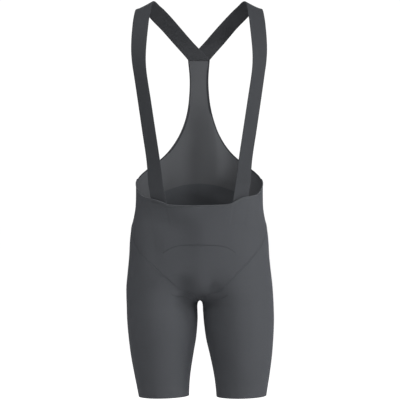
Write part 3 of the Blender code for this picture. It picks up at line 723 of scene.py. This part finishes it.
def lengths_along(line):
    """How far along a line of points each one is."""
    return np.concatenate([[0], np.cumsum(np.linalg.norm(np.diff(line, axis=0), axis=1))])


def sweep(name, rings, finishes, inside=()):
    """A closed skin over a row of rings of points. inside lists the faces of a ring with the last finish."""
    count, around = rings.shape[:2]
    middle = rings[count // 2]
    outward = middle[0] - middle.mean(axis=0)
    facing = np.cross(middle[1] - middle[0], rings[count // 2 + 1][0] - middle[0]) @ outward
    order = -1 if facing < 0 else 1
    index, quads = ring_quads(count, around)
    length = lengths_along(rings.mean(axis=1))
    girth = lengths_along(np.vstack([rings[0], rings[0][:1]]))
    start = np.stack(np.broadcast_arrays(girth[:-1], length[:, None]), -1)
    end = np.stack(np.broadcast_arrays(girth[1:], length[:, None]), -1)
    quad_uv = np.stack([start[:-1], end[:-1], end[1:], start[1:]], 2).reshape(-1, 4, 2)
    faces = quads[:, ::order].tolist()
    uvs = [quad_uv[:, ::order].reshape(-1, 2)]
    for ring, way in ((0, -order), (count - 1, order)):
        faces.append(index[ring][::way].tolist())
        uvs.append(start[ring][::way])
    finish_of = np.zeros(len(faces))
    for place in inside:
        finish_of[place : (count - 1) * around : around] = len(finishes) - 1
    points = leaned(rings).reshape(-1, 3)
    return mesh_object(name, points, faces, finishes, finish_of, np.concatenate(uvs), sharp=60)


# The panels and the legs

UV_GIRTH = 0.40  # metres of half girth that one share stands for in the UV maps
UV_LEG_GIRTH = 0.48  # metres round a leg
SEAM_ROWS = np.array([0.0020, 0.0012, 0.0007, 0.00035, 0.0])  # distances from a leg seam, measured down
SEAM_START = 0.0032
SEAM_SLOPE = 0.8  # distance from a leg seam for each metre of height, roughly
SIDE_COLUMNS = np.array([0.16, 0.10, 0.06, 0.03, 0.0])  # steps from the side seam
TOP_ROWS = np.array([0.0, 0.0009, 0.0017, 0.0025, 0.0034, 0.0046])  # distances down from a panel's top edge
PANEL_CROWDING = 1.8
ROWS_BELOW_CROTCH = 4
CENTRE_EASE = 0.3
LEG_COLUMNS = 145
LEG_ROWS = 110
LEG_CROWDING = 1.9
INSEAM_EASE = 0.15
GROOVE = 0.00027
GROOVE_WIDTH = 0.0007
LIP = 0.00012
LIP_AT = 0.0020
LIP_WIDTH = 0.0010


def seam_groove(distance):
    """The dip of a panel at a flat seam, with a low lip beside it."""
    return -GROOVE * bump(distance, GROOVE_WIDTH) + LIP * bump(distance - LIP_AT, LIP_WIDTH)


def panel(name, centre, top_line, top_drop, columns, rows, marks):
    """The front panel or the seat, across the centre plane and parted at the crotch."""
    last = SIDE_STEP if centre == 0 else BACK_STEPS
    steps = np.concatenate([np.linspace(0, last - SIDE_COLUMNS[0], columns), last - SIDE_COLUMNS[1:]])
    shares = round_share(steps if centre == 0 else ROUND_STEPS - steps)
    low = leg_seam_z(leg_angle(shares))
    top = read(top_line, shares)[..., 0] - top_drop
    bottom = low[0] + SEAM_START
    above = (1 - np.arange(rows) / rows) ** PANEL_CROWDING
    below = np.linspace(0, 1, ROWS_BELOW_CROTCH)
    centre_z = np.concatenate([mix(CROTCH_Z, top[0], above), mix(CROTCH_Z, bottom, below)])
    levels = (top[0] - centre_z) / (top[0] - bottom)
    even = np.linspace(0, 1, len(levels))
    ease = smooth_step(np.abs(shares - centre) / CENTRE_EASE)
    down = mix(levels[:, None], even[:, None], ease[None, :])
    z = mix(top[None, :] - TOP_ROWS[-1], (low + SEAM_START)[None, :], down)
    z = np.concatenate([top[None, :] - TOP_ROWS[:-1, None], z, low[None, :] + SEAM_ROWS[:, None]])
    angle = column_angle(np.broadcast_to(shares, z.shape), z, centre)
    angle[:, 0] = np.where(z[:, 0] < CROTCH_Z, FULL_TURN * centre, angle[:, 0])
    points = point_at_angle(angle, z)
    points[z[:, 0] >= CROTCH_Z - TINY, 0, 0] = 0.0
    start, end = angle_range(z)
    seam_gap = (z - leg_seam_z(angle)) * SEAM_SLOPE
    side_gap = np.abs(mix(start, end, SIDE_SEAM) - angle) / (end - start) * UV_GIRTH
    extra = seam_groove(seam_gap) + seam_groove(side_gap)
    patches = half_patches(points, np.broadcast_to(shares, z.shape), extra, marks)
    return shell(name, patches, KNIT, KNIT_FINISHES)


def leg(name, side):
    """One leg panel, from its seam to the hem, closed at the inseam."""
    shares = round_share(np.linspace(0, ROUND_STEPS, LEG_COLUMNS))
    angle = leg_angle(shares)
    top = leg_seam_z(angle)
    even = np.linspace(0, 1, LEG_ROWS)
    apart = smooth_step(np.minimum(shares, 1 - shares) / INSEAM_EASE)
    down = mix(even[:, None] ** LEG_CROWDING, even[:, None], apart[None, :])
    z = mix((top - SEAM_START)[None, :], np.full(LEG_COLUMNS, HEM_Z)[None, :], down)
    z = np.concatenate([top[None, :] - SEAM_ROWS[::-1, None], z])
    points = point_at_angle(np.broadcast_to(angle, z.shape), z)
    points[:, -1] = points[:, 0]
    out = normals_at(points)
    if side < 0:
        points, out = mirrored(points), mirrored(out)
    moved = relief(points) + seam_groove((top[None, :] - z) * SEAM_SLOPE)
    moved[:, -1] = moved[:, 0]
    uv = np.stack([np.broadcast_to(shares, z.shape) * UV_LEG_GIRTH * side, z], -1)
    return shell(name, [(leaned(points + out * moved[..., None]), out, uv)], KNIT, KNIT_FINISHES)


# The bib back and the bindings


def bib_rim(count):
    """The rim down the wearer's left side, and the direction from it into the cloth."""
    top, bottom, last = BIB_RIM[0][0], BIB_RIM[-1][0], len(BIB_RIM) - 1
    z = mix(top, bottom, 1 - (1 - np.linspace(0, 1, count)) ** RIM_CROWDING)
    rim = body_point(share_at_back(read(BIB_RIM, z)[..., 0], z), z)
    rim[-1] = body_point(SIDE_SEAM, z[-1])
    inward = unit(np.cross(normals_at(rim), np.gradient(rim, axis=0)))
    down = smooth_step((np.linspace(0, last, count) - (last - RIM_TURN_ROWS)) / RIM_TURN_ROWS)[:, None]
    return rim, unit(mix(inward, np.array([0.0, 0.0, -1.0]), down))


def bib_back():
    """Rows from the waist seam to the top, and columns from the centre line to the side seam and the rim."""
    rim, inward = bib_rim(BIB_ROWS)
    edge = (rim + inward * BIB_UNDER_BINDING)[::-1]
    edge_share, edge_z = share_of(edge), edge[:, 2]
    edge_share[0] = SIDE_SEAM
    low_z, centre_low_z = read(WAIST_SEAM, np.array([SIDE_SEAM, 1.0]))[..., 0]
    lower = np.linspace(0, 1, BIB_SIDE_ROWS, endpoint=False)
    edge_share = np.concatenate([np.full(BIB_SIDE_ROWS, SIDE_SEAM), edge_share])
    edge_z = np.concatenate([mix(low_z, edge_z[0], lower), edge_z])
    centre_z = edge_z + (centre_low_z - low_z) * (1 - smooth_step((edge_z - low_z) / BIB_EASE))
    out = np.linspace(0, 1, BIB_COLUMNS)[None, :]
    up = np.linspace(0, 1, len(edge_z))[:, None]
    share = mix(1.0, edge_share[:, None], out)
    bow = read(WAIST_SEAM, mix(1.0, SIDE_SEAM, out))[..., 0] - mix(centre_low_z, low_z, out)
    z = mix(centre_z[:, None], edge_z[:, None], out) + (1 - up) * bow
    points = body_point(share, z)
    points[:, 0, 0] = 0.0
    waist_gap = np.abs(z - read(WAIST_SEAM, share)[..., 0])
    side_gap = np.abs(share - SIDE_SEAM) * UV_GIRTH
    patches = half_patches(points, share, seam_groove(waist_gap) + seam_groove(side_gap), back_relief)
    return shell("bib_back_knit", patches, BIB_KNIT, [BIB])


# across from the edge, out of the cloth's middle: a rolled edge with a dip beside it
BINDING_PROFILE = (
    (0.0000, 0.00000), (0.00012, 0.00062), (0.00050, 0.00110), (0.00120, 0.00138), (0.00200, 0.00134),
    (0.00275, 0.00100), (0.00335, 0.00052), (0.00420, 0.00046), (0.00510, 0.00044), (0.00550, 0.00020),
)
BINDING_UNDER = 0.8  # the inner face's height, next to the outer one's
BACK_BINDING_ROWS = 121
FRONT_BINDING_ROWS = 241


def binding(name, edge, inward, out, half, finish):
    """A folded strip over an edge. edge, inward and out are rows of points and directions."""
    lower = [(across, -away * BINDING_UNDER) for across, away in BINDING_PROFILE[::-1][:-1]]
    profile = np.array([*BINDING_PROFILE, *lower])
    centre = edge - out * half
    rings = centre[:, None] + inward[:, None] * profile[None, :, :1] + out[:, None] * profile[None, :, 1:]
    return sweep(name, rings, [finish])


def back_binding(name, side):
    rim, inward = bib_rim(BACK_BINDING_ROWS)
    out = normals_at(rim)
    if side < 0:
        rim, inward, out = mirrored(rim), mirrored(inward), mirrored(out)
    rim = rim + out * back_relief(rim)[:, None]
    # The back bindings take the darker copy of the binding finish, painted shade for the dark line along the
    # back edges.
    return binding(name, rim, inward, out, BIB_KNIT / 2, SHADE_PAINTED_BINDING)


def front_binding():
    steps = np.linspace(-SIDE_STEP, SIDE_STEP, FRONT_BINDING_ROWS)
    shares = round_share(np.abs(steps))
    z = read(FRONT_RIM, shares)[..., 0]
    edge = body_point(shares, z)
    out = normals_at(edge)
    inward = unit(body_point(shares, z - BINDING_WIDTH) - edge)
    right = steps < 0
    for rows in (edge, inward, out):
        rows[right] = mirrored(rows[right])
    edge[len(steps) // 2, 0] = 0.0
    edge = edge + out * relief(edge)[:, None]
    return binding("front_edge_binding", edge, inward, out, KNIT / 2, BINDING)


# The braces


def near_cut(steps):
    """0 along a brace and 1 at its cut end, where it is thinner and pressed to the bib."""
    return smooth_step((steps - BRACE[-1][0] + BRACE_THIN_FROM) / BRACE_THIN_EASE)


def brace_rows(side):
    """Steps, neck and arm edge points along a brace, from its front end to its cut end at the back."""
    first, last = BRACE[0], BRACE[-1]
    low_z = np.linspace(BRACE_LOW_Z, first[3] - BRACE_TUCK_FROM, BRACE_TUCKED_ROWS)
    tucked = []
    for x in brace_edges_at(low_z):
        points = body_point(share_at_front(x, low_z), low_z)
        own = points if side > 0 else mirrored(points)
        tucked.append(points + normals_at(points) * (relief(own) - BRACE_TUCK)[:, None])
    steps = np.linspace(0, last[0], BRACE_ROWS)
    values = read(BRACE, steps)
    behind = (BRACE_PRESS + BRACE_OVERLAP / 2 * side) * near_cut(steps)
    neck, arm = values[:, :3].copy(), values[:, 3:].copy()
    twist = sum(amount / 2 * bump(steps - step, half) for step, half, amount in BRACE_TWIST[side])
    neck[:, 1] += behind - twist
    arm[:, 1] += behind + twist
    for rows, low in ((neck, tucked[0]), (arm, tucked[1])):
        start, end = low[-1], rows[BRACE_JOIN_ROWS]
        slope = (low[-1] - low[-2]) / (low_z[-1] - low_z[-2])
        for index in range(BRACE_JOIN_ROWS):
            rise = rows[index][2] - start[2]
            part = rise / (end[2] - start[2])
            ease = smooth_step(part * BRACE_JOIN_EASE)
            rows[index] = mix(start + slope * rise, mix(start, end, part), ease)
    cut = np.array([[-BRACE_CUT_HALF, neck[-1][1], BRACE_CUT_Z], [BRACE_CUT_HALF, arm[-1][1], BRACE_CUT_Z]])
    all_steps = np.concatenate([np.zeros(BRACE_TUCKED_ROWS), steps, [last[0]]])
    return all_steps, np.vstack([tucked[0], neck, cut[:1]]), np.vstack([tucked[1], arm, cut[1:]])


PROFILE_ACROSS = 9
PROFILE_ROUND = 5


def brace_profile():
    """Points round a flat elastic: share across it, then how far past that and out, in thicknesses."""
    parts = np.linspace(0, 1, PROFILE_ACROSS)
    turns = np.linspace(0, math.pi, PROFILE_ROUND + 2)[1:-1]
    profile = []
    for face, row in ((1, parts), (-1, parts[::-1])):
        profile += [(part, 0.0, face / 2) for part in row]
        profile += [(row[-1], face * math.sin(turn) / 2, face * math.cos(turn) / 2) for turn in turns]
    return np.array(profile)


def brace(name, side):
    steps, neck, arm = brace_rows(side)
    width = np.linalg.norm(arm - neck, axis=-1, keepdims=True)
    across = (arm - neck) / width
    out = unit(np.cross(across, np.gradient((neck + arm) / 2, axis=0)))
    part, further, away = np.moveaxis(brace_profile()[None, :, :, None], 2, 0)
    thick = (ELASTIC * (1 - BRACE_THINNING * near_cut(steps)))[:, None, None]
    spot = thick / 2 + part * (width[:, None] - thick) + further * thick
    rings = neck[:, None] + across[:, None] * spot + out[:, None] * away * thick
    if side < 0:
        rings = mirrored(rings)
    inner_from = PROFILE_ACROSS + PROFILE_ROUND
    return sweep(name, rings, [BRACES, BRACES_INSIDE], range(inner_from, inner_from + PROFILE_ACROSS - 1))


# Stitches

# The rings of a thread: place along it, then size and height above the cloth in thread radii
THREAD_RINGS = ((0.0, 0.45, -0.4), (0.25, 1.0, 0.35), (0.75, 1.0, 0.35), (1.0, 0.45, -0.4))
THREAD_CORNERS = 4
STITCH_DROP = 0.0021
STITCH_LIFT = 0.0002
INSEAM_GAP = 0.03  # of the angle round a leg
SIDE_STITCH = 0.0042  # of the share round the body
SIDE_STITCH_TOP = 0.007
SIDE_STITCH_END = 0.003
SEAM_CROSS_SHARE = 0.004
PAD_LIFT = 0.0001
LEG_LINE_POINTS = 500
WAIST_LINE_POINTS = 160
SIDE_LINE_POINTS = 60
PAD_LINE_POINTS = 80


def at_length(line, lengths, place):
    return np.array([np.interp(place, lengths, line[:, k]) for k in range(3)])


def stitches(name, lines, finish, length=0.0024, gap=0.0010, thick=0.00030):
    """Short threads along lines of (points, normals), as one object."""
    turns = np.linspace(0, FULL_TURN, THREAD_CORNERS + 1)[:-1]
    points = []
    for line, out in lines:
        far = lengths_along(line)
        for start in np.arange(0, far[-1] - length, length + gap):
            first, last = at_length(line, far, start), at_length(line, far, start + length)
            away = at_length(out, far, start + length / 2)
            sideways = unit(np.cross(last - first, away))
            for place, size, rise in THREAD_RINGS:
                centre = mix(first, last, place) + away * rise * thick
                for turn in turns:
                    round_it = sideways * math.cos(turn) + away * math.sin(turn)
                    points.append(centre + round_it * thick * size)
    index, sides = ring_quads(len(THREAD_RINGS), THREAD_CORNERS)
    thread = np.vstack([sides, index[:1, ::-1], index[-1:]])
    firsts = np.arange(0, len(points), index.size)
    faces = (firsts[:, None, None] + thread).reshape(-1, 4)
    finish_of, uvs = np.zeros(len(faces)), np.zeros((faces.size, 2))
    return mesh_object(name, np.array(points), faces, [finish], finish_of, uvs, sharp=0)


def leg_stitches():
    angle = np.linspace(INSEAM_GAP, FULL_TURN - INSEAM_GAP, LEG_LINE_POINTS)
    z = leg_seam_z(angle)
    lines = []
    for drop in (STITCH_DROP, -STITCH_DROP):
        lines += on_both_sides(point_at_angle(angle, z + drop), STITCH_LIFT)
    return stitches("leg_seam_stitches", lines, THREAD)


def waist_stitches():
    shares = np.linspace(SIDE_SEAM + SEAM_CROSS_SHARE, 1, WAIST_LINE_POINTS)
    z = read(WAIST_SEAM, shares)[..., 0]
    lines = []
    for drop in (STITCH_DROP, -STITCH_DROP):
        lines += on_both_sides(body_point(shares, z + drop), STITCH_LIFT, back_relief)
    top = read(FRONT_RIM, SIDE_SEAM)[0] - SIDE_STITCH_TOP
    z = np.linspace(top, leg_seam_z(leg_angle(SIDE_SEAM)) + SIDE_STITCH_END, SIDE_LINE_POINTS)
    for aside in (SIDE_STITCH, -SIDE_STITCH):
        lines += on_both_sides(body_point(np.full(z.shape, SIDE_SEAM + aside), z), STITCH_LIFT)
    return stitches("waist_and_side_stitches", lines, THREAD)


def pad_stitches(name, tables, thick, by_share=True):
    """Dark threads along the outlines of the seat pad, by tables of (share, z) or of (x, z)."""
    lines = []
    for table in tables:
        places = np.linspace(*sorted((table[0][0], table[-1][0])), PAD_LINE_POINTS)
        z = read(table, places)[..., 0]
        shares = places if by_share else share_at_front(places, z)
        lines += on_both_sides(body_point(shares, z), PAD_LIFT)
    return stitches(name, lines, DARK_THREAD, length=0.0032, gap=0.0004, thick=thick)


# Build

FRONT = panel("front_knit", 0, FRONT_RIM, top_drop=0.0012, columns=90, rows=90, marks=front_relief)
SEAT = panel("seat_knit", 1, WAIST_SEAM, top_drop=0.0, columns=60, rows=80, marks=back_relief)
LEG_LEFT = leg("leg_knit_left", 1)
LEG_RIGHT = leg("leg_knit_right", -1)
BIB_PIECE = bib_back()
FRONT_EDGE = front_binding()
BACK_EDGE_LEFT = back_binding("back_edge_binding_left", 1)
BACK_EDGE_RIGHT = back_binding("back_edge_binding_right", -1)
BRACE_LEFT = brace("brace_elastic_left", 1)
BRACE_RIGHT = brace("brace_elastic_right", -1)
LEG_THREADS = leg_stitches()
WAIST_THREADS = waist_stitches()
PAD_THREADS = pad_stitches("pad_stitches", (PAD_TOP_FRONT, PAD_TOP_BACK), 0.00036)
PAD_LOW_THREADS = pad_stitches("pad_low_stitches", (PAD_LOW_FRONT,), 0.00046, by_share=False)

for piece, node, slot in (
    (FRONT, "front_panel", "shorts_knit"),
    (SEAT, "seat_panel", "shorts_knit"),
    (LEG_LEFT, "leg_left", "shorts_knit"),
    (LEG_RIGHT, "leg_right", "shorts_knit"),
    (BIB_PIECE, "bib_back", "bib_knit"),
    (FRONT_EDGE, "front_binding", "edge_binding"),
    (BACK_EDGE_LEFT, "back_binding_left", "edge_binding"),
    (BACK_EDGE_RIGHT, "back_binding_right", "edge_binding"),
    (BRACE_LEFT, "brace_left", "brace_elastic"),
    (BRACE_RIGHT, "brace_right", "brace_elastic"),
):
    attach(piece, "root")
    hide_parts(node)
for piece in (LEG_THREADS, WAIST_THREADS, PAD_THREADS, PAD_LOW_THREADS):
    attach(piece, "root")

# Studio

PICTURE_SIDE = 400
METRES_PER_PIXEL = 0.00235
CAMERA_DISTANCE = 4.0
CAMERA_Z = -0.467
MIDDLE_PIXEL = 199.4
FLOOR_Z = -1.45
FLOOR_HALF = 60.0
FLOOR_SHADE = 0.9
LIGHT_DISTANCE = 4.5
LIGHT_AIM_Z = -0.47
WORLD_LIGHT = 0.008
WORLD_SEEN = 1.05

camera = bpy.data.cameras.new("camera")
camera.sensor_width = 36.0
camera.lens = camera.sensor_width * CAMERA_DISTANCE / (PICTURE_SIDE * METRES_PER_PIXEL)
camera.shift_x = (PICTURE_SIDE / 2 - MIDDLE_PIXEL) / PICTURE_SIDE
camera_object = bpy.data.objects.new("camera", camera)
camera_object.location = (0, -CAMERA_DISTANCE, CAMERA_Z)
camera_object.rotation_euler = (math.pi / 2, 0, 0)
bpy.context.scene.collection.objects.link(camera_object)
bpy.context.scene.camera = camera_object


def light(name, azimuth, elevation, size, power):
    """A round soft light. Azimuth 0 is beside the camera and 90 is at the picture's right."""
    turn, rise = math.radians(azimuth), math.radians(elevation)
    away = np.array([math.sin(turn) * math.cos(rise), -math.cos(turn) * math.cos(rise), math.sin(rise)])
    lamp = bpy.data.lights.new(name, "AREA")
    lamp.shape = "DISK"
    lamp.size = size
    lamp.energy = power
    holder = bpy.data.objects.new(name, lamp)
    holder.location = away * LIGHT_DISTANCE + np.array([0, 0, LIGHT_AIM_Z])
    holder.rotation_euler = (math.pi / 2 - rise, 0, turn)
    bpy.context.scene.collection.objects.link(holder)


# name, azimuth, elevation, size, power
for row in (
    ("key", 22, 45, 2.0, 97),
    ("right_low", 75, 12, 2.0, 75),
    ("right_front", 50, 12, 2.0, 28),
    ("left_high", -90, 45, 2.0, 43),
    ("left_front", -35, 12, 2.0, 26),
    ("back", 180, 35, 2.4, 42),
):
    light(*row)

floor_mesh = bpy.data.meshes.new("floor")
floor_corners = [(x * FLOOR_HALF, y * FLOOR_HALF, FLOOR_Z) for x, y in ((-1, -1), (1, -1), (1, 1), (-1, 1))]
floor_mesh.from_pydata(floor_corners, [], [(0, 1, 2, 3)])
floor = bpy.data.objects.new("floor", floor_mesh)
bpy.context.scene.collection.objects.link(floor)
pale = bpy.data.materials.new("pale_floor")
pale.use_nodes = True
pale_shader = pale.node_tree.nodes["Principled BSDF"]
pale_shader.inputs["Base Color"].default_value = (FLOOR_SHADE, FLOOR_SHADE, FLOOR_SHADE, 1.0)
pale_shader.inputs["Roughness"].default_value = 0.9
pale_shader.inputs["Emission Color"].default_value = (1, 1, 1, 1)
floor_ray = pale.node_tree.nodes.new("ShaderNodeLightPath")
pale.node_tree.links.new(floor_ray.outputs["Is Camera Ray"], pale_shader.inputs["Emission Strength"])
floor_mesh.materials.append(pale)

world = bpy.data.worlds.new("studio")
world.use_nodes = True
background = world.node_tree.nodes["Background"]
ray = world.node_tree.nodes.new("ShaderNodeLightPath")
strength = world.node_tree.nodes.new("ShaderNodeMix")
strength.inputs["A"].default_value = WORLD_LIGHT
strength.inputs["B"].default_value = WORLD_SEEN
world.node_tree.links.new(ray.outputs["Is Camera Ray"], strength.inputs["Factor"])
world.node_tree.links.new(strength.outputs["Result"], background.inputs["Strength"])
background.inputs["Color"].default_value = (1, 1, 1, 1)
bpy.context.scene.world = world
bpy.context.scene.view_settings.view_transform = "Standard"
